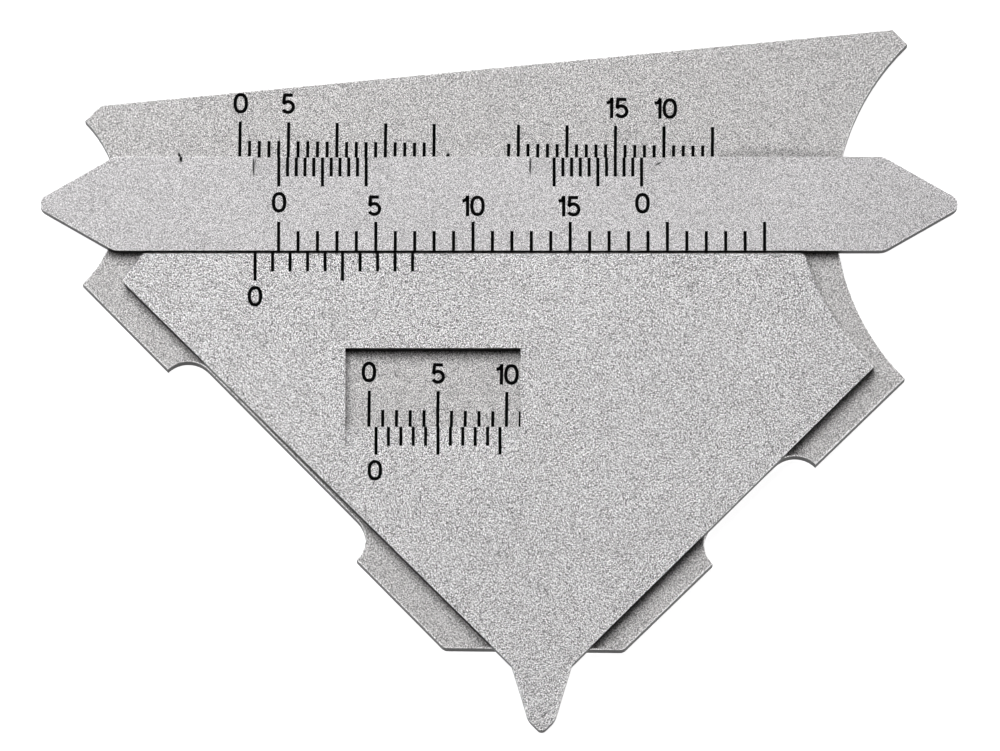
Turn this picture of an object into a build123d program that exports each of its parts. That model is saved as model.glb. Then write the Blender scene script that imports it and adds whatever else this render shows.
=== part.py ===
from build123d import *
from math import cos, radians, sin, sqrt, tan
import os

# Weld gauge of flat stainless plates, lying on its back with the scales up.
# X runs along the measuring bar, Y runs across it up the plates, Z points out of the scales.
# Sizes are in millimetres. Places in the plane of the plates are counted from the centre of a
# square: the workpiece corners that the gauge measures lie at its left, right and lowest corner.

# Square of the workpiece corners, whose lower sides are the lines of the feet
half_diagonal = 55.4
foot_angle = 45.0

# Back plate, which carries the feet and the fixed scales
back_thickness = 2.2
left_notch_radius = 12.1
right_notch_radius = 24.8
top_edge_height = 15.08
top_edge_slope = 6.2
bottom_edge_depth = 46.2
foot_recess_depth = 2.95
left_foot_recess_start = 24.7
right_foot_recess_start = 37.7
foot_recess_end = 52.5
top_left_radius = 1.0
bottom_corner_radius = 0.9

# The back plate's outline and fixed scales stand turned clockwise against the line of the slides
plate_turn = 0.63

# Measuring bar with a 60 degree point at each end
slide_thickness = 1.8
bar_width = 9.86
bar_half_angle = 30.0
bar_tip_radius = 0.95
bar_shoulder_radius = 2.0

# Front plate with the window and the tongue
front_inset = 4.15
bar_gap = 0.24
front_corner_cut = 5.02
front_left_angle = 52.3
front_notch_radius = 24.86
front_notch_rise = 0.95
front_corner_radius = 0.8
tongue_root_half_width = 3.08
tongue_taper = 16.75
tongue_setback = 0.2
tongue_tip_radius = 0.6
tongue_shoulder_radius = 2.0
window_left = -20.15
window_drop = 9.97
window_width = 18.0
window_height = 8.02
window_bevel_width = 2.72
window_bevel_depth = 1.2

# Bevels that bring a vernier down to the scale behind it
bar_bevel_width = 2.0
bar_bevel_depth = 0.6
bar_bevel_margin = 2.45
edge_break = 0.1

# Readings at which the slides stand, and the scales' ends
left_reading = 4.1
left_reading_max = 20.0
right_reading = 12.25
right_reading_min = 5.0
right_reading_max = 26.0
height_reading = 0.35
height_reading_max = 10.0
height_scale_end = 20.0

# Graduations
tick_width = 0.33
engraving_depth = 0.12
long_every = 5
length_pitch = 1.0
vernier_ratio = 0.9
vernier_steps = 10
bar_scale_steps = 25
front_vernier_steps = 9
bar_left_zero = 24.55
bar_right_zero = 32.55
front_vernier_zero = -29.46
window_vernier_zero = -17.0
scale_tuck = 0.4
top_scale_short = 1.67
top_scale_long = 3.66
bar_vernier_short = 2.11
bar_vernier_long = 3.15
bar_scale_short = 2.04
bar_scale_long = 3.01
front_vernier_short = 1.96
front_vernier_long = 2.93
window_scale_short = 1.71
window_scale_long = 3.73
window_vernier_short = 2.14
window_vernier_long = 3.12

# Guides, each a stud in a slide, running in a stepped slot of the back plate. A screw with a
# wide head holds a disc spring against the slot's ledge
stud_diameter = 3.9
stud_seat_depth = 1.0
running_clearance = 0.05
travel_clearance = 0.15
slot_ledge = 0.9
guide_recess_width = 8.0
guide_recess_margin = 2.95
upper_guide_drop = 4.9
upper_guide_left_inset = 17.1
upper_guide_right_inset = 18.35
lower_guide_rise = 24.45
lower_guide_x = -3.0
spring_gap = 0.35
spring_thickness = 0.15
spring_clearance = 0.03
spring_inner_diameter = 4.1
spring_outer_diameter = 7.2
screw_diameter = 2.0
thread_clearance = 0.03
screw_head_diameter = 6.6
screw_head_height = 0.7
screw_length = 1.6
screw_hole_spare = 0.2
driver_slot_width = 0.8
driver_slot_depth = 0.35

# How far a cutting profile reaches past the metal that it cuts
overrun = 0.5

# Sizes and places that follow from the sizes above
height_pitch = length_pitch / sin(radians(foot_angle))
angle_pitch = length_pitch / sin(radians(bar_half_angle))
bar_left_tip = left_reading - half_diagonal
bar_right_tip = half_diagonal - right_reading
bar_travel_left = right_reading_max - right_reading
bar_travel_right = left_reading_max - left_reading
front_half_diagonal = half_diagonal - front_inset
tongue_reach = half_diagonal - tongue_setback
front_zero_x = -tongue_setback
front_x = front_zero_x + height_reading * height_pitch
front_travel_left = height_reading * height_pitch
front_travel_right = (height_reading_max - height_reading) * height_pitch
bar_top_y = bar_width / 2
bar_bottom_y = -bar_width / 2
front_top_y = bar_bottom_y - bar_gap
front_left_x = front_corner_cut - front_half_diagonal - front_top_y
window_bottom_y = front_top_y - window_drop - window_height
front_surface = back_thickness + slide_thickness
slope = tan(radians(top_edge_slope))
top_left_x = (top_edge_height - half_diagonal) / (1 - slope)
top_right_x = (half_diagonal - top_edge_height) / (1 + slope)
top_right_y = half_diagonal - top_right_x
tongue_tip_y = -tongue_reach + tongue_tip_radius * (1 / sin(radians(foot_angle)) - 1)
slot_width = stud_diameter + 2 * running_clearance

# Centre of the gauge's outline, which stands over the origin
centre_x = (bar_left_tip + bar_right_tip) / 2
turn_cos = cos(radians(plate_turn))
turn_sin = sin(radians(plate_turn))
top_y = top_right_y * turn_cos - top_right_x * turn_sin
centre_y = (top_y + tongue_tip_y) / 2

# The name of each guide, and the place of its stud
guide_recess_end_x = half_diagonal - right_notch_radius - guide_recess_margin
bar_guide_x = guide_recess_end_x - guide_recess_width / 2 - travel_clearance - bar_travel_right
front_right_x = front_half_diagonal - front_notch_radius
upper_guide_y = front_top_y - upper_guide_drop
bar_guides = [
    ("bar_left", 2 * centre_x - bar_guide_x, 0),
    ("bar_right", bar_guide_x, 0),
]
front_guides = [
    ("front_left", front_x + front_left_x + upper_guide_left_inset, upper_guide_y),
    ("front_right", front_x + front_right_x - upper_guide_right_inset, upper_guide_y),
    ("front_lower", front_x + lower_guide_x, lower_guide_rise - half_diagonal),
]


def level(height):
    """Plane parallel to the rear face, with the centre of the square as its origin."""
    return Plane(origin=(-centre_x, -centre_y, height))


def plate_level(height):
    """The same plane, turned as the back plate's outline and fixed scales are."""
    return Plane(origin=(-centre_x, -centre_y, height), x_dir=(turn_cos, -turn_sin, 0))


def section(x):
    """Plane across the gauge at x, whose own axes run along Y and Z."""
    return Plane(origin=(x - centre_x, -centre_y, 0), x_dir=(0, 1, 0), z_dir=(1, 0, 0))


def nearest(builder, x, y):
    """The corner of a sketch that lies nearest to a place."""
    return builder.vertices().sort_by_distance((x, y))[0]


def break_edges(builder):
    """Breaks the sharp edges round the front and the rear face of a plate."""
    faces = builder.faces().sort_by(Axis.Z)
    rims = faces[0].outer_wire().edges() + faces[-1].outer_wire().edges()
    chamfer(rims, edge_break)


def engrave(plane, start, pitch, steps, foot_y, short_y, long_y):
    """Cuts a row of ticks into a flat face, from foot_y to short_y or, for the long ones, long_y."""
    with BuildSketch(plane) as row:
        for i in range(round(steps) + 1):
            end_y = long_y if i % long_every == 0 else short_y
            with Locations((start + i * pitch, (foot_y + end_y) / 2)):
                Rectangle(tick_width, abs(end_y - foot_y))
    extrude(row.sketch, amount=-engraving_depth, mode=Mode.SUBTRACT)


def cut_bevel(left_x, width_x, edge_y, bevel_width, bevel_depth):
    """Slopes a slide's front face down to its upward-facing edge at edge_y."""
    fall = bevel_depth / bevel_width
    with BuildSketch(section(left_x)) as wedge:
        with BuildLine():
            Polyline(
                (edge_y - bevel_width, front_surface),
                (edge_y + overrun, front_surface - bevel_depth - overrun * fall),
                (edge_y + overrun, front_surface + overrun),
                (edge_y - bevel_width, front_surface + overrun),
                close=True,
            )
        make_face()
    extrude(wedge.sketch, amount=width_x, mode=Mode.SUBTRACT)


def engrave_bevel(start, pitch, edge_y, bevel_width, bevel_depth, short_y, long_y):
    """Cuts a vernier's ticks into a bevel, and the long ones into the flat behind it."""
    fall = bevel_depth / bevel_width
    sunk = engraving_depth * sqrt(1 + fall**2)
    foot_z = front_surface - bevel_depth - overrun * fall - sunk
    crest_y = edge_y - bevel_width
    bend_y = crest_y - (sunk - engraving_depth) / fall
    for is_long, end_y in ((True, long_y), (False, short_y)):
        places = [start + i * pitch for i in range(vernier_steps + 1) if (i % long_every == 0) == is_long]
        end_z = front_surface - engraving_depth
        floor = [(edge_y + overrun, foot_z), (bend_y, end_z), (end_y, end_z)]
        if end_y > bend_y:
            floor = [floor[0], (end_y, front_surface - (end_y - crest_y) * fall - sunk)]
        with BuildSketch(*[section(x - tick_width / 2) for x in places]) as row:
            with BuildLine():
                Polyline(
                    *floor,
                    (end_y, front_surface + overrun),
                    (edge_y + overrun, front_surface + overrun),
                    close=True,
                )
            make_face()
        extrude(row.sketch, amount=tick_width, mode=Mode.SUBTRACT)


def cut_guide_slot(first_x, last_x, y):
    """Cuts a stepped slot through the back plate for studs between two places."""
    middle_x = (first_x + last_x) / 2
    reach = last_x - first_x + 2 * travel_clearance
    with BuildSketch(level(0)) as slot:
        with Locations((middle_x, y)):
            SlotCenterToCenter(reach, slot_width)
    extrude(slot.sketch, amount=back_thickness, mode=Mode.SUBTRACT)
    with BuildSketch(level(0)) as recess:
        with Locations((middle_x, y)):
            SlotCenterToCenter(reach, guide_recess_width)
    extrude(recess.sketch, amount=back_thickness - slot_ledge, mode=Mode.SUBTRACT)


def cut_stud_seats(guides):
    """Sinks the studs' blind seats into the rear face of a slide."""
    with BuildSketch(level(back_thickness)) as seats:
        with Locations(*[(x, y) for _, x, y in guides]):
            Circle(stud_diameter / 2)
    extrude(seats.sketch, amount=stud_seat_depth, mode=Mode.SUBTRACT)


os.makedirs("parts", exist_ok=True)

# Back plate: a square with its top cut off, a round notch at each side corner, and a relief in
# each lower side that leaves two feet
with BuildPart() as back_plate:
    with BuildSketch(plate_level(0)) as outline:
        with BuildLine():
            Polyline(
                (-half_diagonal, 0),
                (top_left_x, top_left_x + half_diagonal),
                (top_right_x, top_right_y),
                (half_diagonal, 0),
                (half_diagonal - bottom_edge_depth, -bottom_edge_depth),
                (bottom_edge_depth - half_diagonal, -bottom_edge_depth),
                close=True,
            )
        make_face()
        fillet(nearest(outline, top_left_x, top_left_x + half_diagonal), top_left_radius)
        for side in (-1, 1):
            corner_x = side * (half_diagonal - bottom_edge_depth)
            fillet(nearest(outline, corner_x, -bottom_edge_depth), bottom_corner_radius)
        with Locations((-half_diagonal, 0)):
            Circle(left_notch_radius, mode=Mode.SUBTRACT)
        with Locations((half_diagonal, 0)):
            Circle(right_notch_radius, mode=Mode.SUBTRACT)
        for side, recess_start in ((-1, left_foot_recess_start), (1, right_foot_recess_start)):
            down = (recess_start + foot_recess_end) / 2 * sin(radians(foot_angle))
            with Locations(Location((side * (half_diagonal - down), -down), side * foot_angle)):
                SlotOverall(foot_recess_end - recess_start, 2 * foot_recess_depth, mode=Mode.SUBTRACT)
    extrude(amount=back_thickness)
    break_edges(back_plate)
    cut_guide_slot(bar_guides[0][1] - bar_travel_left, bar_guides[1][1] + bar_travel_right, 0)
    for _, x, y in front_guides:
        cut_guide_slot(x - front_travel_left, x + front_travel_right, y)
    engrave(
        plate_level(back_thickness),
        bar_left_zero - half_diagonal,
        length_pitch,
        left_reading_max / length_pitch,
        bar_top_y - scale_tuck,
        bar_top_y + top_scale_short,
        bar_top_y + top_scale_long,
    )
    engrave(
        plate_level(back_thickness),
        half_diagonal - bar_right_zero - right_reading_min,
        -length_pitch,
        (right_reading_max - right_reading_min) / length_pitch,
        bar_top_y - scale_tuck,
        bar_top_y + top_scale_short,
        bar_top_y + top_scale_long,
    )
    engrave(
        plate_level(back_thickness),
        front_zero_x + window_vernier_zero,
        height_pitch,
        height_scale_end / length_pitch,
        window_bottom_y - scale_tuck,
        window_bottom_y + window_scale_short,
        window_bottom_y + window_scale_long,
    )
back_plate.part.label = "back_plate"
export_step(back_plate.part, "parts/back_plate.step")

# Measuring bar: its sharp ends are rounded, and two bevels carry the verniers of the top scales
tip_setback = bar_tip_radius * (1 / sin(radians(bar_half_angle)) - 1)
shoulder_setback = bar_top_y / tan(radians(bar_half_angle))
sharp_left = bar_left_tip - tip_setback
sharp_right = bar_right_tip + tip_setback
with BuildPart() as measuring_bar:
    with BuildSketch(level(back_thickness)) as outline:
        with BuildLine():
            Polyline(
                (sharp_left, 0),
                (sharp_left + shoulder_setback, bar_top_y),
                (sharp_right - shoulder_setback, bar_top_y),
                (sharp_right, 0),
                (sharp_right - shoulder_setback, bar_bottom_y),
                (sharp_left + shoulder_setback, bar_bottom_y),
                close=True,
            )
        make_face()
        fillet([nearest(outline, sharp_left, 0), nearest(outline, sharp_right, 0)], bar_tip_radius)
        shoulders = outline.vertices().group_by(Axis.Y)[0] + outline.vertices().group_by(Axis.Y)[-1]
        fillet(shoulders, bar_shoulder_radius)
    extrude(amount=slide_thickness)
    break_edges(measuring_bar)
    cut_stud_seats(bar_guides)
    vernier_span = vernier_steps * length_pitch * vernier_ratio
    for zero_x, side in ((bar_left_tip + bar_left_zero, 1), (bar_right_tip - bar_right_zero, -1)):
        left_x = min(zero_x, zero_x + side * vernier_span) - bar_bevel_margin
        width_x = vernier_span + 2 * bar_bevel_margin
        cut_bevel(left_x, width_x, bar_top_y, bar_bevel_width, bar_bevel_depth)
        engrave_bevel(
            zero_x,
            side * length_pitch * vernier_ratio,
            bar_top_y,
            bar_bevel_width,
            bar_bevel_depth,
            bar_top_y - bar_vernier_short,
            bar_top_y - bar_vernier_long,
        )
    engrave(
        level(front_surface),
        bar_left_tip + bar_left_zero,
        angle_pitch,
        bar_scale_steps,
        bar_bottom_y - overrun,
        bar_bottom_y + bar_scale_short,
        bar_bottom_y + bar_scale_long,
    )
measuring_bar.part.label = "measuring_bar"
export_step(measuring_bar.part, "parts/measuring_bar.step")

# Front plate: a smaller square corner below the bar, with a tongue at its lowest point
taper = tan(radians(tongue_taper))
root_y = tongue_root_half_width - front_half_diagonal
shoulder_y = -(tongue_reach - tongue_root_half_width + taper * root_y) / (1 - taper)
shoulder_half_width = tongue_reach + shoulder_y
left_edge_run = (front_left_x + front_top_y + front_half_diagonal) / (
    cos(radians(front_left_angle)) + sin(radians(front_left_angle))
)
left_corner_x = front_left_x - left_edge_run * cos(radians(front_left_angle))
left_corner_y = front_top_y - left_edge_run * sin(radians(front_left_angle))
window_x = front_x + window_left
notch_drop = front_notch_rise - front_top_y
top_right_end_x = front_half_diagonal - sqrt(front_notch_radius**2 - notch_drop**2)
with BuildPart() as front_plate:
    with BuildSketch(level(back_thickness)) as outline:
        with Locations((front_x, 0)):
            Polygon(
                (front_left_x, front_top_y),
                (left_corner_x, left_corner_y),
                (-tongue_root_half_width, root_y),
                (-shoulder_half_width, shoulder_y),
                (0, -tongue_reach),
                (shoulder_half_width, shoulder_y),
                (tongue_root_half_width, root_y),
                (front_half_diagonal + front_top_y, front_top_y),
                align=None,
            )
        with Locations((front_x + front_half_diagonal, front_notch_rise)):
            Circle(front_notch_radius, mode=Mode.SUBTRACT)
        fillet(nearest(outline, front_x, -tongue_reach), tongue_tip_radius)
        for side in (-1, 1):
            shoulder = nearest(outline, front_x + side * shoulder_half_width, shoulder_y)
            fillet(shoulder, tongue_shoulder_radius)
        for corner_x, corner_y in (
            (front_left_x, front_top_y),
            (left_corner_x, left_corner_y),
            (top_right_end_x, front_top_y),
        ):
            fillet(nearest(outline, front_x + corner_x, corner_y), front_corner_radius)
    extrude(amount=slide_thickness)
    break_edges(front_plate)
    cut_stud_seats(front_guides)
    with BuildSketch(level(back_thickness)):
        with Locations((window_x, window_bottom_y)):
            Rectangle(window_width, window_height, align=(Align.MIN, Align.MIN))
    extrude(amount=slide_thickness, mode=Mode.SUBTRACT)
    cut_bevel(window_x, window_width, window_bottom_y, window_bevel_width, window_bevel_depth)
    engrave_bevel(
        front_x + window_vernier_zero,
        height_pitch * vernier_ratio,
        window_bottom_y,
        window_bevel_width,
        window_bevel_depth,
        window_bottom_y - window_vernier_short,
        window_bottom_y - window_vernier_long,
    )
    engrave(
        level(front_surface),
        front_x + front_vernier_zero,
        angle_pitch * vernier_ratio,
        front_vernier_steps,
        front_top_y + overrun,
        front_top_y - front_vernier_short,
        front_top_y - front_vernier_long,
    )
front_plate.part.label = "front_plate"
export_step(front_plate.part, "parts/front_plate.step")

# Heights in a guide, from the ledge of the slot down to the screw's head
ledge_z = back_thickness - slot_ledge
stud_foot_z = ledge_z - spring_gap
screw_rear_z = stud_foot_z - screw_head_height


def make_stud(guide, x, y):
    """Stud seated in a slide. It runs in the slot and has a blind thread in its foot."""
    stud_height = back_thickness + stud_seat_depth - stud_foot_z
    with BuildPart() as stud:
        with BuildSketch(level(stud_foot_z)):
            with Locations((x, y)):
                Circle(stud_diameter / 2)
        extrude(amount=stud_height)
        with BuildSketch(level(stud_foot_z)):
            with Locations((x, y)):
                Circle(screw_diameter / 2)
        extrude(amount=screw_length + screw_hole_spare, mode=Mode.SUBTRACT)
    stud.part.label = f"{guide}_stud"
    export_step(stud.part, f"parts/{guide}_stud.step")


def make_disc_spring(guide, x, y):
    """Coned ring between the ledge and the screw's head, which holds the slide where it is put."""
    inner = spring_inner_diameter / 2
    outer = spring_outer_diameter / 2
    rim_z = ledge_z - spring_clearance
    with BuildPart() as disc_spring:
        with BuildSketch(Plane(origin=(x - centre_x, y - centre_y, 0), z_dir=(0, -1, 0), x_dir=(1, 0, 0))):
            with BuildLine():
                Polyline(
                    (inner, stud_foot_z),
                    (inner, stud_foot_z + spring_thickness),
                    (outer, rim_z),
                    (outer, rim_z - spring_thickness),
                    close=True,
                )
            make_face()
        revolve(axis=Axis((x - centre_x, y - centre_y, 0), (0, 0, 1)))
    disc_spring.part.label = f"{guide}_disc_spring"
    export_step(disc_spring.part, f"parts/{guide}_disc_spring.step")


def make_screw(guide, x, y):
    """Slotted screw with a wide head, which stays below the rear face."""
    with BuildPart() as screw:
        with BuildSketch(level(screw_rear_z)):
            with Locations((x, y)):
                Circle(screw_head_diameter / 2)
        extrude(amount=screw_head_height)
        with BuildSketch(level(stud_foot_z)):
            with Locations((x, y)):
                Circle(screw_diameter / 2 - thread_clearance)
        extrude(amount=screw_length)
        with BuildSketch(level(screw_rear_z)):
            with Locations((x, y)):
                Rectangle(screw_head_diameter + overrun, driver_slot_width)
        extrude(amount=driver_slot_depth, mode=Mode.SUBTRACT)
    screw.part.label = f"{guide}_screw"
    export_step(screw.part, f"parts/{guide}_screw.step")


for guide, guide_x, guide_y in bar_guides + front_guides:
    make_stud(guide, guide_x, guide_y)
    make_disc_spring(guide, guide_x, guide_y)
    make_screw(guide, guide_x, guide_y)
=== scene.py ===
import math

import bpy
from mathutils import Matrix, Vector


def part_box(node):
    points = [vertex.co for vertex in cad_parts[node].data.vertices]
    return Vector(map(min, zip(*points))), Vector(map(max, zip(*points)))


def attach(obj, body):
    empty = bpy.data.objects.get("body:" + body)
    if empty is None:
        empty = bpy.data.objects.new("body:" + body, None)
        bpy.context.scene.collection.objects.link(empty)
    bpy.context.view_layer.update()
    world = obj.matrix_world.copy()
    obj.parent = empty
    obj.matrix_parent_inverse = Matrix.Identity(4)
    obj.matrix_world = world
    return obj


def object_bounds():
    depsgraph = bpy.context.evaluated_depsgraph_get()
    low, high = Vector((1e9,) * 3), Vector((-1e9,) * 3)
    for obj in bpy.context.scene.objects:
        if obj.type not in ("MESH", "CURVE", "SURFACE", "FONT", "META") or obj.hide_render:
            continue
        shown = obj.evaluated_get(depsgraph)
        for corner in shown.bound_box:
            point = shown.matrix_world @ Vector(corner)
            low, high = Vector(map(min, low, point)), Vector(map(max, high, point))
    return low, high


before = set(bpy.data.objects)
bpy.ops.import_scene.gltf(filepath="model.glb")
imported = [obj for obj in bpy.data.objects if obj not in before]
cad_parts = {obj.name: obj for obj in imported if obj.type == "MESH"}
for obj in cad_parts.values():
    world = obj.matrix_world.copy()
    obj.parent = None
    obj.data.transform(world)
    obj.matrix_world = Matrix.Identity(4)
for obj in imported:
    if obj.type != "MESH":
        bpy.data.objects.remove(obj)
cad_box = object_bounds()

# The dressed weld gauge: blasted steel on the CAD plates, black fill in the engraved ticks, and
# the scales' numbers. Lengths in this script are in metres, and MM turns millimetres into them.
MM = 0.001

# Driving sizes, as the solids have them
HALF_DIAGONAL = 55.4 * MM
LEFT_READING = 4.1 * MM
HEIGHT_READING = 0.35
FOOT_DEGREES = 45.0
TURN_DEGREES = 0.63
BACK_FRONT = 2.2 * MM
SLIDE_FRONT = 4.0 * MM
BAR_GAP = 0.24 * MM
TONGUE_SETBACK = 0.2 * MM
WINDOW_FLOOR = 17.99 * MM

# Graduations: the pitches of the scales, and a vernier's share of its scale's pitch
LENGTH_PITCH = 1.0 * MM
ANGLE_PITCH = 2.0 * MM
HEIGHT_PITCH = LENGTH_PITCH / math.sin(math.radians(FOOT_DEGREES))
VERNIER = 0.9

# Where the zeros of the scales lie, counted inwards from the square's side corners and from the
# bar's points, and to the left from the front plate's lowest corner, where its tongue is. The
# right scale starts at a reading of its own
LEFT_ZERO = 24.55 * MM
RIGHT_ZERO = 32.55 * MM
RIGHT_FIRST_READING = 5.0 * MM
WINDOW_ZERO = 17.0 * MM
EDGE_VERNIER_ZERO = 29.46 * MM

# How many ticks each scale has, and after how many a long one comes
LEFT_COUNT = 21
RIGHT_COUNT = 22
WINDOW_COUNT = 21
ANGLE_COUNT = 26
VERNIER_COUNT = 11
EDGE_VERNIER_COUNT = 10
LONG_EVERY = 5

# How far the short and the long ticks reach from their edge, upwards unless negative
BACK_TICKS = (1.67 * MM, 3.66 * MM)
WINDOW_TICKS = (1.71 * MM, 3.73 * MM)
BAR_TICKS = (2.04 * MM, 3.01 * MM)
BAR_VERNIER_TICKS = (-2.11 * MM, -3.15 * MM)
EDGE_VERNIER_TICKS = (-1.96 * MM, -2.93 * MM)
WINDOW_VERNIER_TICKS = (-2.14 * MM, -3.12 * MM)

# A tick's width, how deep its fill lies and reaches, and how far the ticks of the back plate run
# on below a slide's edge
TICK_WIDTH = 0.33 * MM
TICK_SINK = 0.03 * MM
TICK_DEPTH = 0.12 * MM
SCALE_TUCK = 0.4 * MM

# Bevels under the verniers: width and depth
BAR_BEVEL = (2.0 * MM, 0.6 * MM)
WINDOW_BEVEL = (2.72 * MM, 1.2 * MM)

# Digits
DIGIT_HEIGHT = 2.16 * MM
DIGIT_STROKE = 0.355 * MM
DIGIT_PROUD = 0.005 * MM
DIGIT_DEPTH = 0.05 * MM
DIGIT_GAP = 0.08 * MM

# Numbers: each one's text and tick, and in millimetres how far it stands to the right of its tick
# and above the middle of the bar
LEFT_NUMBERS = (("0", 0, 0.03, 10.53), ("5", 5, -0.1, 10.53))
RIGHT_NUMBERS = (("10", 5, 0.12, 10.46), ("15", 10, 0.12, 10.46))
WINDOW_NUMBERS = (
    ("0", 0, -0.06, -17.5),
    ("5", 5, -0.03, -17.58),
    ("10", 10, 0.0, -17.6),
    ("15", 15, 0.0, -17.6),
    ("20", 20, 0.0, -17.6),
)
ANGLE_NUMBERS = (
    ("0", 0, 0.04, 0.12),
    ("5", 5, -0.18, -0.24),
    ("10", 10, 0.0, -0.26),
    ("15", 15, -0.13, -0.29),
)
RIGHT_VERNIER_NUMBERS = (("0", 0, 0.09, 0.02),)
EDGE_VERNIER_NUMBERS = (("0", 0, 0.0, -9.72),)
WINDOW_VERNIER_NUMBERS = (("0", 0, -0.11, -27.9),)

# Finish of the plates by how upright a surface's normal is: the walls, the edges, the window's
# bevel, the bar's bevels and the faces. Each stop has its place, metallic, roughness and tone.
# The
# tones hold painted light: painted shade on the walls, a painted highlight on the edges, painted
# light on the window's bevel and painted shade on the bar's bevels
FACE_TONE = 0.6
FINISH_AND_PAINTED_LIGHT_STOPS = (
    (0.4, 0.95, 0.28, 0.13),
    (0.65, 0.85, 0.26, 0.9),
    (0.76, 0.85, 0.26, 0.9),
    (0.88, 0.6, 0.6, 0.76),
    (0.92, 0.6, 0.6, 0.76),
    (0.955, 0.6, 0.6, 0.58),
    (0.985, 0.6, 0.6, FACE_TONE),
)

# Marks on the bar and the back plate. Each mark has its middle and its half sizes in millimetres,
# its shade, and its turn in degrees. On the bar, the first and the last are a nick and a scratch,
# and the middle two are painted shade along the left end walls of the bevel pockets. On the back
# plate, the first two are a nick and a speck, the third darkens a band along the bar's top edge,
# and the last two are painted highlights along the lines of its feet
BAR_WEAR_AND_SHADE = (
    ((-32.75, 22.85, 4.0), (0.17, 0.45, 2.0), 0.0, 0),
    # Painted shade along the left end walls of the bar's two bevel pockets
    ((-25.27, 22.0, 4.0), (0.12, 1.1, 3.0), 0.1, 0),
    ((3.2, 22.1, 4.0), (0.12, 1.0, 3.0), 0.15, 0),
    ((16.4, 22.4, 4.0), (0.5, 0.12, 3.0), 0.2, 30),
)
BACK_MARKS_AND_HIGHLIGHTS = (
    ((-32.9, 23.4, 2.2), (0.16, 0.6, 1.0), 0.0, 15),
    ((-5.25, 23.4, 2.2), (0.24, 0.5, 1.0), 0.0, 0),
    # A darker band along the bar's top edge, right of its middle
    ((29.0, 23.0, 2.2), (9.0, 1.5, 1.0), 0.72, 0),
    # Painted highlights along the lines of the feet, stronger on the right foot
    ((-38.455, 5.617, 2.2), (90.0, 0.16, 0.12), 1.25, -FOOT_DEGREES - TURN_DEGREES),
    ((37.133, -4.301, 2.2), (90.0, 0.18, 0.12), 1.6, FOOT_DEGREES - TURN_DEGREES),
)

# How deep the fine relief of the finishes is
RELIEF_DEPTH = 0.01 * MM

# Floor: half its side, and how far it lies below the gauge
FLOOR_REACH = 6.0
FLOOR_GAP = 0.02 * MM

# Camera: it looks down on the slides' front faces, tilted a little so that the lower walls show
VIEW_WIDTH = 102.75 * MM
VIEW_CENTRE = (0.103 * MM, 0.15 * MM)
VIEW_DISTANCE = 2.0
VIEW_TILT = math.radians(10.45)
VIEW_REACH = 50.0
SENSOR_WIDTH = 36.0

# Places in the frame: the centre of the square that the feet's lines belong to, and the edges and
# zeros that the scales start from
bar_low, bar_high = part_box("measuring_bar")
square_x = bar_low.x + HALF_DIAGONAL - LEFT_READING
square_y = (bar_low.y + bar_high.y) / 2
bar_top = bar_high.y
bar_bottom = bar_low.y
front_top = bar_bottom - BAR_GAP
window_bottom = front_top - WINDOW_FLOOR
front_zero_x = square_x - TONGUE_SETBACK
front_x = front_zero_x + HEIGHT_READING * HEIGHT_PITCH
fixed_left_zero = square_x - HALF_DIAGONAL + LEFT_ZERO
fixed_right_start = square_x + HALF_DIAGONAL - RIGHT_ZERO - RIGHT_FIRST_READING
fixed_window_zero = front_zero_x - WINDOW_ZERO
bar_left_zero = bar_low.x + LEFT_ZERO
bar_right_zero = bar_high.x - RIGHT_ZERO
edge_vernier_zero = front_x - EDGE_VERNIER_ZERO
window_vernier_zero = front_x - WINDOW_ZERO

scene = bpy.context.scene


def new_material(name):
    """A new material, with its nodes and links."""
    material = bpy.data.materials.new(name)
    material.use_nodes = True
    return material, material.node_tree.nodes, material.node_tree.links


def noise(nodes, links, coordinates, scale, detail=2.0, roughness=0.5):
    """A noise texture on given coordinates."""
    node = nodes.new("ShaderNodeTexNoise")
    node.inputs["Scale"].default_value = scale
    node.inputs["Detail"].default_value = detail
    node.inputs["Roughness"].default_value = roughness
    links.new(coordinates, node.inputs["Vector"])
    return node.outputs["Fac"]


def spread(nodes, links, value, source, target):
    """Maps a value from one range to another."""
    node = nodes.new("ShaderNodeMapRange")
    node.inputs["From Min"].default_value, node.inputs["From Max"].default_value = source
    node.inputs["To Min"].default_value, node.inputs["To Max"].default_value = target
    links.new(value, node.inputs["Value"])
    return node.outputs["Result"]


def multiply(nodes, links, first, second):
    """Product of two values."""
    node = nodes.new("ShaderNodeMath")
    node.operation = "MULTIPLY"
    links.new(first, node.inputs[0])
    links.new(second, node.inputs[1])
    return node.outputs["Value"]


def fill_ramp(ramp, stops):
    """Sets the stops of a new ramp, each with its position and its colour."""
    first, *middle, last = stops
    for element, (position, color) in zip(ramp.elements, (first, last)):
        element.position = position
        element.color = color
    for position, color in middle:
        ramp.elements.new(position).color = color


def shade_oval(nodes, links, tone, coordinates, place, reach, shade, angle):
    """Shades a tone inside an oval: middle and half sizes in millimetres, turned in degrees."""
    fitted = nodes.new("ShaderNodeMapping")
    fitted.vector_type = "TEXTURE"
    fitted.inputs["Location"].default_value = [value * MM for value in place]
    fitted.inputs["Rotation"].default_value = (0, 0, math.radians(angle))
    fitted.inputs["Scale"].default_value = [value * MM for value in reach]
    links.new(coordinates, fitted.inputs["Vector"])
    length = nodes.new("ShaderNodeVectorMath")
    length.operation = "LENGTH"
    links.new(fitted.outputs["Vector"], length.inputs[0])
    inside = spread(nodes, links, length.outputs["Value"], (0.6, 1.1), (shade, 1.0))
    return multiply(nodes, links, tone, inside)


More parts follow.
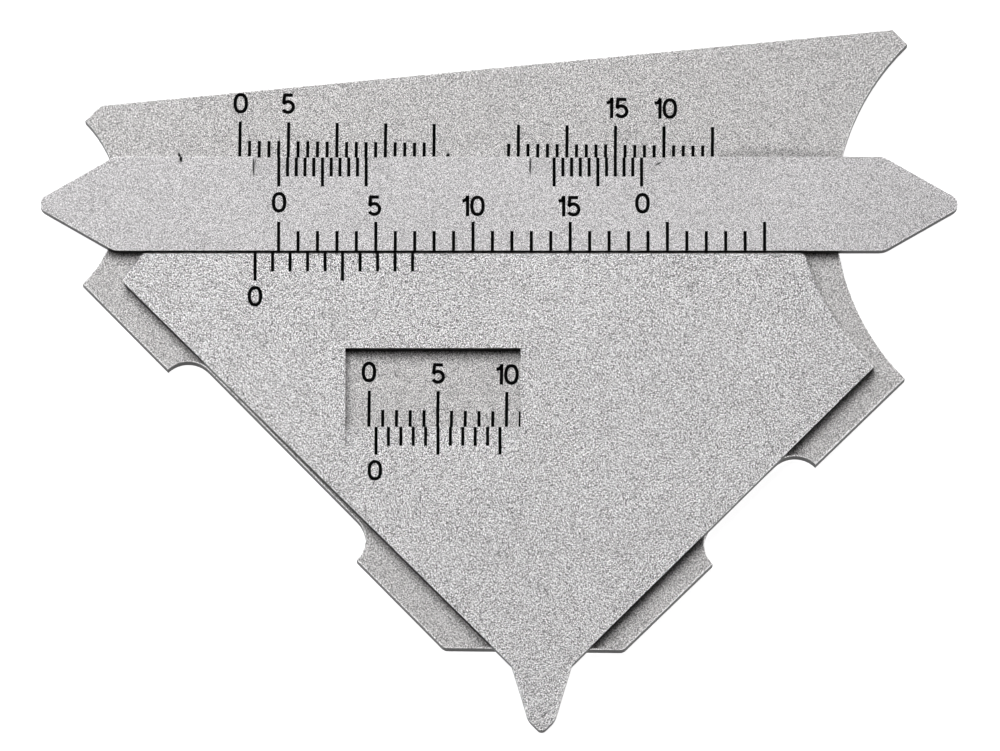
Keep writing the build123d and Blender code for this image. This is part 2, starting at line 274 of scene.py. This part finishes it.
def paint(nodes, links, shader, color, tone):
    """Gives a shader a base colour that is scaled by a tone."""
    scaled = nodes.new("ShaderNodeVectorMath")
    scaled.operation = "SCALE"
    scaled.inputs[0].default_value = color
    links.new(tone, scaled.inputs["Scale"])
    links.new(scaled.outputs["Vector"], shader.inputs["Base Color"])


def emboss(nodes, links, shader, height, strength):
    """Gives a shader a fine relief."""
    bump = nodes.new("ShaderNodeBump")
    bump.inputs["Strength"].default_value = strength
    bump.inputs["Distance"].default_value = RELIEF_DEPTH
    links.new(height, bump.inputs["Height"])
    links.new(bump.outputs["Normal"], shader.inputs["Normal"])


def upright_finish_and_painted_light(nodes, links, source, shader):
    """Sets metallic and roughness by how upright the normal is, and gives back the tone with its
    painted light.
    """
    facing = nodes.new("ShaderNodeSeparateXYZ")
    links.new(source.outputs["Normal"], facing.inputs["Vector"])
    upright = nodes.new("ShaderNodeMath")
    upright.operation = "ABSOLUTE"
    links.new(facing.outputs["Z"], upright.inputs[0])
    # The ramp's tone is painted shade on the walls and the bar's bevels, painted light on the
    # window's bevel, and a painted highlight on the edges
    finish = nodes.new("ShaderNodeValToRGB")
    fill_ramp(finish.color_ramp, [(place, (*values, 1)) for place, *values in FINISH_AND_PAINTED_LIGHT_STOPS])
    links.new(upright.outputs["Value"], finish.inputs["Fac"])
    parts = nodes.new("ShaderNodeSeparateColor")
    links.new(finish.outputs["Color"], parts.inputs["Color"])
    links.new(parts.outputs["Red"], shader.inputs["Metallic"])
    links.new(parts.outputs["Green"], shader.inputs["Roughness"])
    return parts.outputs["Blue"]


def blasted_steel(name, color, contrast, marks_and_painted_light=()):
    """Bead-blasted steel, with fine grain, dark pits, wear, painted shade and highlights, and
    smoother machined walls.
    """
    material, nodes, links = new_material(name)
    shader = nodes["Principled BSDF"]
    shader.inputs["Specular Tint"].default_value = (0.33, 0.33, 0.33, 1)
    source = nodes.new("ShaderNodeTexCoord")
    # The noise is slanted, so that no face cuts its cells in line
    slant = nodes.new("ShaderNodeMapping")
    slant.inputs["Rotation"].default_value = (0.5, 0.3, 0.7)
    links.new(source.outputs["Object"], slant.inputs["Vector"])
    coordinates = slant.outputs["Vector"]
    grain = noise(nodes, links, coordinates, scale=11000.0, detail=1.0)
    clouds = noise(nodes, links, coordinates, scale=90.0, detail=3.0, roughness=0.55)
    pits = noise(nodes, links, coordinates, scale=2400.0, detail=1.0)
    grain_range = (1 - 1.15 * contrast, 1 + 0.85 * contrast)
    # Painted shade and highlights by how upright the surface is
    tone = upright_finish_and_painted_light(nodes, links, source, shader)
    for layer in (
        spread(nodes, links, grain, (0.38, 0.62), grain_range),
        spread(nodes, links, clouds, (0.3, 0.7), (0.97, 1.03)),
        spread(nodes, links, pits, (0.2, 0.26), (0.45, 1.0)),
    ):
        tone = multiply(nodes, links, tone, layer)
    # Wear marks, and painted shade and highlights, each in an oval
    for mark in marks_and_painted_light:
        tone = shade_oval(nodes, links, tone, source.outputs["Object"], *mark)
    paint(nodes, links, shader, [channel / FACE_TONE for channel in color], tone)
    emboss(nodes, links, shader, grain, 0.6)
    return material


def turned_steel(name, color, roughness):
    """Turned steel: fine rings round the middle of the piece."""
    material, nodes, links = new_material(name)
    shader = nodes["Principled BSDF"]
    shader.inputs["Metallic"].default_value = 0.9
    shader.inputs["Roughness"].default_value = roughness
    coordinates = nodes.new("ShaderNodeTexCoord")
    centre = nodes.new("ShaderNodeMapping")
    centre.inputs["Location"].default_value = (-0.5, -0.5, 0.0)
    links.new(coordinates.outputs["Generated"], centre.inputs["Vector"])
    rings = nodes.new("ShaderNodeTexWave")
    rings.wave_type = "RINGS"
    rings.rings_direction = "Z"
    rings.inputs["Scale"].default_value = 9.0
    rings.inputs["Distortion"].default_value = 0.4
    links.new(centre.outputs["Vector"], rings.inputs["Vector"])
    grain = noise(nodes, links, coordinates.outputs["Object"], scale=5000.0)
    tone = multiply(
        nodes,
        links,
        spread(nodes, links, rings.outputs["Fac"], (0.0, 1.0), (0.9, 1.06)),
        spread(nodes, links, grain, (0.3, 0.7), (0.92, 1.08)),
    )
    paint(nodes, links, shader, color, tone)
    emboss(nodes, links, shader, rings.outputs["Fac"], 0.3)
    return material


def mark_paint(name):
    """Matt black paint that fills the engraving, with a slightly uneven surface."""
    material, nodes, links = new_material(name)
    shader = nodes["Principled BSDF"]
    shader.inputs["Roughness"].default_value = 0.8
    shader.inputs["Specular IOR Level"].default_value = 0.05
    coordinates = nodes.new("ShaderNodeTexCoord").outputs["Object"]
    speckle = noise(nodes, links, coordinates, scale=6000.0, roughness=0.6)
    tone = spread(nodes, links, speckle, (0.3, 0.7), (0.6, 1.8))
    paint(nodes, links, shader, (0.0016, 0.0016, 0.0016), tone)
    emboss(nodes, links, shader, speckle, 0.4)
    return material


def seen(nodes, links, hidden, shown):
    """One value for what the camera, reflections and glass see, and one for other light."""
    path = nodes.new("ShaderNodeLightPath")
    value = path.outputs["Is Camera Ray"]
    for kind in ("Is Glossy Ray", "Is Transmission Ray"):
        either = nodes.new("ShaderNodeMath")
        either.operation = "MAXIMUM"
        links.new(value, either.inputs[0])
        links.new(path.outputs[kind], either.inputs[1])
        value = either.outputs["Value"]
    return spread(nodes, links, value, (0.0, 1.0), (hidden, shown))


def white_floor(name):
    """A floor that is almost white of itself where it is seen, so that shadows stay faint."""
    material, nodes, links = new_material(name)
    shader = nodes["Principled BSDF"]
    shader.inputs["Base Color"].default_value = (0.85, 0.85, 0.85, 1)
    shader.inputs["Roughness"].default_value = 0.9
    shader.inputs["Emission Color"].default_value = (1, 1, 1, 1)
    links.new(seen(nodes, links, 0.0, 0.93), shader.inputs["Emission Strength"])
    return material


# Material of each kind of piece, by the end of its name
finishes = {
    "measuring_bar": blasted_steel(
        "bar_blasted_steel", color=(0.64, 0.627, 0.636), contrast=0.57, marks_and_painted_light=BAR_WEAR_AND_SHADE
    ),
    "front_plate": blasted_steel(
        "front_blasted_steel", color=(0.71, 0.695, 0.705), contrast=0.95
    ),
    "back_plate": blasted_steel(
        "back_blasted_steel", color=(0.61, 0.598, 0.598), contrast=0.7, marks_and_painted_light=BACK_MARKS_AND_HIGHLIGHTS
    ),
    "_stud": turned_steel("stud_turned_steel", color=(0.58, 0.575, 0.57), roughness=0.35),
    "_disc_spring": turned_steel("spring_blued_steel", color=(0.3, 0.29, 0.3), roughness=0.3),
    "_screw": turned_steel("screw_turned_steel", color=(0.6, 0.595, 0.59), roughness=0.38),
}
black_fill = mark_paint("black_fill")

for node_name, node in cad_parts.items():
    for ending, finish in finishes.items():
        if node_name.endswith(ending):
            for material_slot in node.material_slots:
                material_slot.material = finish


class Solids:
    """Collects closed solids in one mesh."""

    def __init__(self):
        self.points = []
        self.faces = []

    def prism(self, rim, shift):
        """Adds the prism that a rim of points sweeps when it is moved by shift."""
        start = len(self.points)
        count = len(rim)
        self.points += [Vector(point) for point in rim]
        self.points += [Vector(point) + Vector(shift) for point in rim]
        self.faces.append(list(range(start + count - 1, start - 1, -1)))
        self.faces.append(list(range(start + count, start + 2 * count)))
        for i in range(count):
            j = (i + 1) % count
            self.faces.append([start + i, start + j, start + count + j, start + count + i])

    def band(self, left, right, low_z, high_z, closed):
        """Adds a flat band between two lines of points, from low_z up to high_z."""
        start = len(self.points)
        count = len(left)
        for z in (low_z, high_z):
            for line in (left, right):
                self.points += [Vector((x, y, z)) for x, y in line]
        low_left, low_right, high_left, high_right = (start + i * count for i in range(4))
        for i in range(count if closed else count - 1):
            j = (i + 1) % count
            self.faces.append([high_left + j, high_left + i, high_right + i, high_right + j])
            self.faces.append([low_left + i, low_left + j, low_right + j, low_right + i])
            self.faces.append([low_left + j, low_left + i, high_left + i, high_left + j])
            self.faces.append([low_right + i, low_right + j, high_right + j, high_right + i])
        if not closed:
            last = count - 1
            self.faces.append([low_left, low_right, high_right, high_left])
            self.faces.append(
                [low_right + last, low_left + last, high_left + last, high_right + last]
            )

    def turn(self, degrees):
        """Turns the collected solids clockwise about the centre of the square."""
        angle = math.radians(degrees)
        turned = []
        for point in self.points:
            x, y = point.x - square_x, point.y - square_y
            new_x = square_x + x * math.cos(angle) + y * math.sin(angle)
            new_y = square_y + y * math.cos(angle) - x * math.sin(angle)
            turned.append(Vector((new_x, new_y, point.z)))
        self.points = turned

    def piece(self, name, material, body):
        """Makes the collected solids one object that rides on a body."""
        mesh = bpy.data.meshes.new(name)
        mesh.from_pydata(self.points, [], self.faces)
        mesh.materials.append(material)
        mesh.validate()
        mesh.update()
        made = bpy.data.objects.new(name, mesh)
        scene.collection.objects.link(made)
        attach(made, body)


def tick_end(i, edge_y, reaches):
    """Where a scale's tick ends, as a short or a long one."""
    short, long = reaches
    return edge_y + (long if i % LONG_EVERY == 0 else short)


def fill_ticks(solids, face_z, zero_x, pitch, count, edge_y, reaches, tuck=0.0):
    """Black fill in a row of ticks on a flat face, which start a tuck below their edge."""
    for i in range(count):
        x = zero_x + i * pitch
        low_y, high_y = sorted((edge_y - tuck, tick_end(i, edge_y, reaches)))
        rim = [
            (x - TICK_WIDTH / 2, low_y, face_z - TICK_DEPTH),
            (x + TICK_WIDTH / 2, low_y, face_z - TICK_DEPTH),
            (x + TICK_WIDTH / 2, high_y, face_z - TICK_DEPTH),
            (x - TICK_WIDTH / 2, high_y, face_z - TICK_DEPTH),
        ]
        solids.prism(rim, (0, 0, TICK_DEPTH - TICK_SINK))


def fill_bevel_ticks(solids, zero_x, pitch, edge_y, bevel, reaches):
    """Black fill in a vernier's ticks, on its bevel and on the flat below it."""
    width, depth = bevel
    crest_y = edge_y - width

    def surface(y):
        return SLIDE_FRONT - max(0.0, y - crest_y) * depth / width

    for i in range(VERNIER_COUNT):
        x = zero_x + i * pitch
        end_y = tick_end(i, edge_y, reaches)
        line = [edge_y, crest_y, end_y] if end_y < crest_y else [edge_y, end_y]
        top = [(y, surface(y) - TICK_SINK) for y in line]
        floor = [(y, surface(y) - TICK_DEPTH) for y in reversed(line)]
        rim = [(x - TICK_WIDTH / 2, y, z) for y, z in top + floor]
        solids.prism(rim, (TICK_WIDTH, 0, 0))


def arc(centre, radii, first, last, count):
    """Points along an ellipse, between two angles in degrees."""
    angles = [math.radians(first + (last - first) * i / count) for i in range(count + 1)]
    return [
        (centre[0] + radii[0] * math.cos(a), centre[1] + radii[1] * math.sin(a)) for a in angles
    ]


def oval(half_width, half_height, fullness, count):
    """Points round a full oval, squarer than an ellipse where fullness is over 2."""
    points = []
    for i in range(count):
        a = 2 * math.pi * i / count
        x = abs(math.cos(a)) ** (2 / fullness) * math.copysign(1, math.cos(a))
        y = abs(math.sin(a)) ** (2 / fullness) * math.copysign(1, math.sin(a))
        points.append((half_width * x, half_height * y))
    return points


def offset(line, distance, closed):
    """A line of points moved sideways by distance, with mitred corners."""
    count = len(line)
    moved = []
    for i, (x, y) in enumerate(line):
        before = line[i - 1] if closed or i > 0 else None
        after = line[(i + 1) % count] if closed or i < count - 1 else None
        normals = []
        for a, b in ((before, (x, y)), ((x, y), after)):
            if a and b:
                along = Vector((b[0] - a[0], b[1] - a[1])).normalized()
                normals.append(Vector((-along.y, along.x)))
        middle = sum(normals, Vector((0, 0))).normalized()
        moved.append(Vector((x, y)) + middle * distance / middle.dot(normals[0]))
    return moved


def strokes(digit):
    """A digit's centre lines, and how far they reach to the right and the left of its middle."""
    tall = (DIGIT_HEIGHT - DIGIT_STROKE) / 2
    if digit == "0":
        wide = 0.58 * MM
        return [(oval(wide, tall, fullness=2.3, count=40), True)], wide, wide
    if digit == "5":
        wide = 0.56 * MM
        bowl_height = 0.56 * MM
        stem = [(0.5 * MM, tall), (-0.35 * MM, tall), (-0.45 * MM, -0.02 * MM)]
        bowl = arc((0, bowl_height - tall), (wide, bowl_height), first=150, last=-152, count=24)
        return [(stem, False), (bowl, False)], wide, wide
    if digit == "2":
        wide = 0.54 * MM
        bowl_height = 0.53 * MM
        hook = arc((0, tall - bowl_height), (wide, bowl_height), first=165, last=-30, count=20)
        foot = [(-wide, -tall), (wide, -tall)]
        return [(hook + [(-wide, -tall)], False), (foot, False)], wide, wide
    stem = [(0, -tall - DIGIT_STROKE / 2), (0, tall + DIGIT_STROKE / 2)]
    flag = [(-0.54 * MM, 0.52 * MM), (-0.2 * MM, 0.6 * MM), (0, 0.9 * MM)]
    return [(stem, False), (flag, False)], 0, 0.48 * MM


def write_number(solids, text, x, y, face_z):
    """Writes a number with its middle at a place."""
    spans = [strokes(digit) for digit in text]
    total = sum(left + right + DIGIT_STROKE for lines, right, left in spans)
    total += DIGIT_GAP * (len(text) - 1)
    cursor = x - total / 2
    for lines, right, left in spans:
        middle = cursor + left + DIGIT_STROKE / 2
        cursor = middle + right + DIGIT_STROKE / 2 + DIGIT_GAP
        for line, closed in lines:
            placed = [(middle + px, y + py) for px, py in line]
            solids.band(
                offset(placed, DIGIT_STROKE / 2, closed),
                offset(placed, -DIGIT_STROKE / 2, closed),
                face_z - DIGIT_DEPTH,
                face_z + DIGIT_PROUD,
                closed,
            )


def write_numbers(solids, numbers, face_z, zero_x, pitch):
    """Writes the numbers of one scale."""
    for text, tick, beside, above in numbers:
        x = zero_x + tick * pitch + beside * MM
        write_number(solids, text, x, square_y + above * MM, face_z)


# Fixed scales on the back plate
back_marks = Solids()
for zero_x, pitch, count, edge_y, reaches in (
    (fixed_left_zero, LENGTH_PITCH, LEFT_COUNT, bar_top, BACK_TICKS),
    (fixed_right_start, -LENGTH_PITCH, RIGHT_COUNT, bar_top, BACK_TICKS),
    (fixed_window_zero, HEIGHT_PITCH, WINDOW_COUNT, window_bottom, WINDOW_TICKS),
):
    fill_ticks(back_marks, BACK_FRONT, zero_x, pitch, count, edge_y, reaches, SCALE_TUCK)
back_marks.turn(TURN_DEGREES)
back_marks.piece("back_plate_ticks", black_fill, "back_plate")

back_numbers = Solids()
write_numbers(back_numbers, LEFT_NUMBERS, BACK_FRONT, fixed_left_zero, LENGTH_PITCH)
write_numbers(back_numbers, RIGHT_NUMBERS, BACK_FRONT, fixed_right_start, -LENGTH_PITCH)
write_numbers(back_numbers, WINDOW_NUMBERS, BACK_FRONT, fixed_window_zero, HEIGHT_PITCH)
back_numbers.turn(TURN_DEGREES)
back_numbers.piece("back_plate_numbers", black_fill, "back_plate")

# Verniers and scale on the measuring bar
bar_marks = Solids()
for zero_x, pitch in ((bar_left_zero, LENGTH_PITCH), (bar_right_zero, -LENGTH_PITCH)):
    fill_bevel_ticks(bar_marks, zero_x, pitch * VERNIER, bar_top, BAR_BEVEL, BAR_VERNIER_TICKS)
fill_ticks(
    bar_marks, SLIDE_FRONT, bar_left_zero, ANGLE_PITCH, ANGLE_COUNT, bar_bottom, BAR_TICKS
)
bar_marks.piece("bar_ticks", black_fill, "measuring_bar")

bar_numbers = Solids()
write_numbers(bar_numbers, ANGLE_NUMBERS, SLIDE_FRONT, bar_left_zero, ANGLE_PITCH)
write_numbers(bar_numbers, RIGHT_VERNIER_NUMBERS, SLIDE_FRONT, bar_right_zero, -LENGTH_PITCH)
bar_numbers.piece("bar_numbers", black_fill, "measuring_bar")

# Verniers on the front plate
edge_pitch = ANGLE_PITCH * VERNIER
window_pitch = HEIGHT_PITCH * VERNIER
front_marks = Solids()
fill_ticks(
    front_marks,
    SLIDE_FRONT,
    edge_vernier_zero,
    edge_pitch,
    EDGE_VERNIER_COUNT,
    front_top,
    EDGE_VERNIER_TICKS,
)
fill_bevel_ticks(
    front_marks,
    window_vernier_zero,
    window_pitch,
    window_bottom,
    WINDOW_BEVEL,
    WINDOW_VERNIER_TICKS,
)
front_marks.piece("front_plate_ticks", black_fill, "front_plate")

front_numbers = Solids()
write_numbers(front_numbers, EDGE_VERNIER_NUMBERS, SLIDE_FRONT, edge_vernier_zero, edge_pitch)
write_numbers(
    front_numbers, WINDOW_VERNIER_NUMBERS, SLIDE_FRONT, window_vernier_zero, window_pitch
)
front_numbers.piece("front_plate_numbers", black_fill, "front_plate")

# Floor
floor_z = cad_box[0][2] - FLOOR_GAP
corners = [(-FLOOR_REACH, -FLOOR_REACH), (FLOOR_REACH, -FLOOR_REACH)]
corners += [(FLOOR_REACH, FLOOR_REACH), (-FLOOR_REACH, FLOOR_REACH)]
floor_mesh = bpy.data.meshes.new("floor")
floor_mesh.from_pydata([(x, y, floor_z) for x, y in corners], [], [(0, 1, 2, 3)])
floor_mesh.materials.append(white_floor("white_floor"))
floor = bpy.data.objects.new("floor", floor_mesh)
scene.collection.objects.link(floor)

# Sky: dark overhead, and white at the horizon for the camera and in reflections
world = bpy.data.worlds.new("studio")
scene.world = world
world.use_nodes = True
sky_nodes, sky_links = world.node_tree.nodes, world.node_tree.links
background = sky_nodes["Background"]
direction = sky_nodes.new("ShaderNodeTexCoord")
split = sky_nodes.new("ShaderNodeSeparateXYZ")
sky_links.new(direction.outputs["Generated"], split.inputs["Vector"])
sky_ramp = sky_nodes.new("ShaderNodeValToRGB")
fill_ramp(sky_ramp.color_ramp, ((0.2, (1, 1, 1, 1)), (0.6, (0.02, 0.019, 0.018, 1))))
sky_links.new(split.outputs["Z"], sky_ramp.inputs["Fac"])
sky_links.new(sky_ramp.outputs["Color"], background.inputs["Color"])
sky_links.new(seen(sky_nodes, sky_links, 0.05, 1.0), background.inputs["Strength"])


def soft_box(name, azimuth, elevation, distance, side, power):
    """A square area lamp that faces the middle of the gauge."""
    lamp = bpy.data.lights.new(name, "AREA")
    lamp.shape = "SQUARE"
    lamp.size = side
    lamp.energy = power
    turn, rise = math.radians(azimuth), math.radians(elevation)
    toward = Vector(
        (math.cos(turn) * math.cos(rise), math.sin(turn) * math.cos(rise), math.sin(rise))
    )
    holder = bpy.data.objects.new(name, lamp)
    holder.location = toward * distance
    holder.rotation_euler = toward.to_track_quat("Z", "Y").to_euler()
    scene.collection.objects.link(holder)


# Light: one soft box high above the top edge
soft_box("key", azimuth=112, elevation=66, distance=0.6, side=0.4, power=2.65)

# Camera
camera_data = bpy.data.cameras.new("camera")
camera_data.sensor_width = SENSOR_WIDTH
camera_data.lens = SENSOR_WIDTH * VIEW_DISTANCE / VIEW_WIDTH
camera_data.clip_end = VIEW_REACH
camera = bpy.data.objects.new("camera", camera_data)
camera.location = (
    VIEW_CENTRE[0],
    VIEW_CENTRE[1] - VIEW_DISTANCE * math.sin(VIEW_TILT),
    SLIDE_FRONT + VIEW_DISTANCE * math.cos(VIEW_TILT),
)
camera.rotation_euler = (VIEW_TILT, 0, 0)
scene.collection.objects.link(camera)
scene.camera = camera
scene.view_settings.view_transform = "Standard"
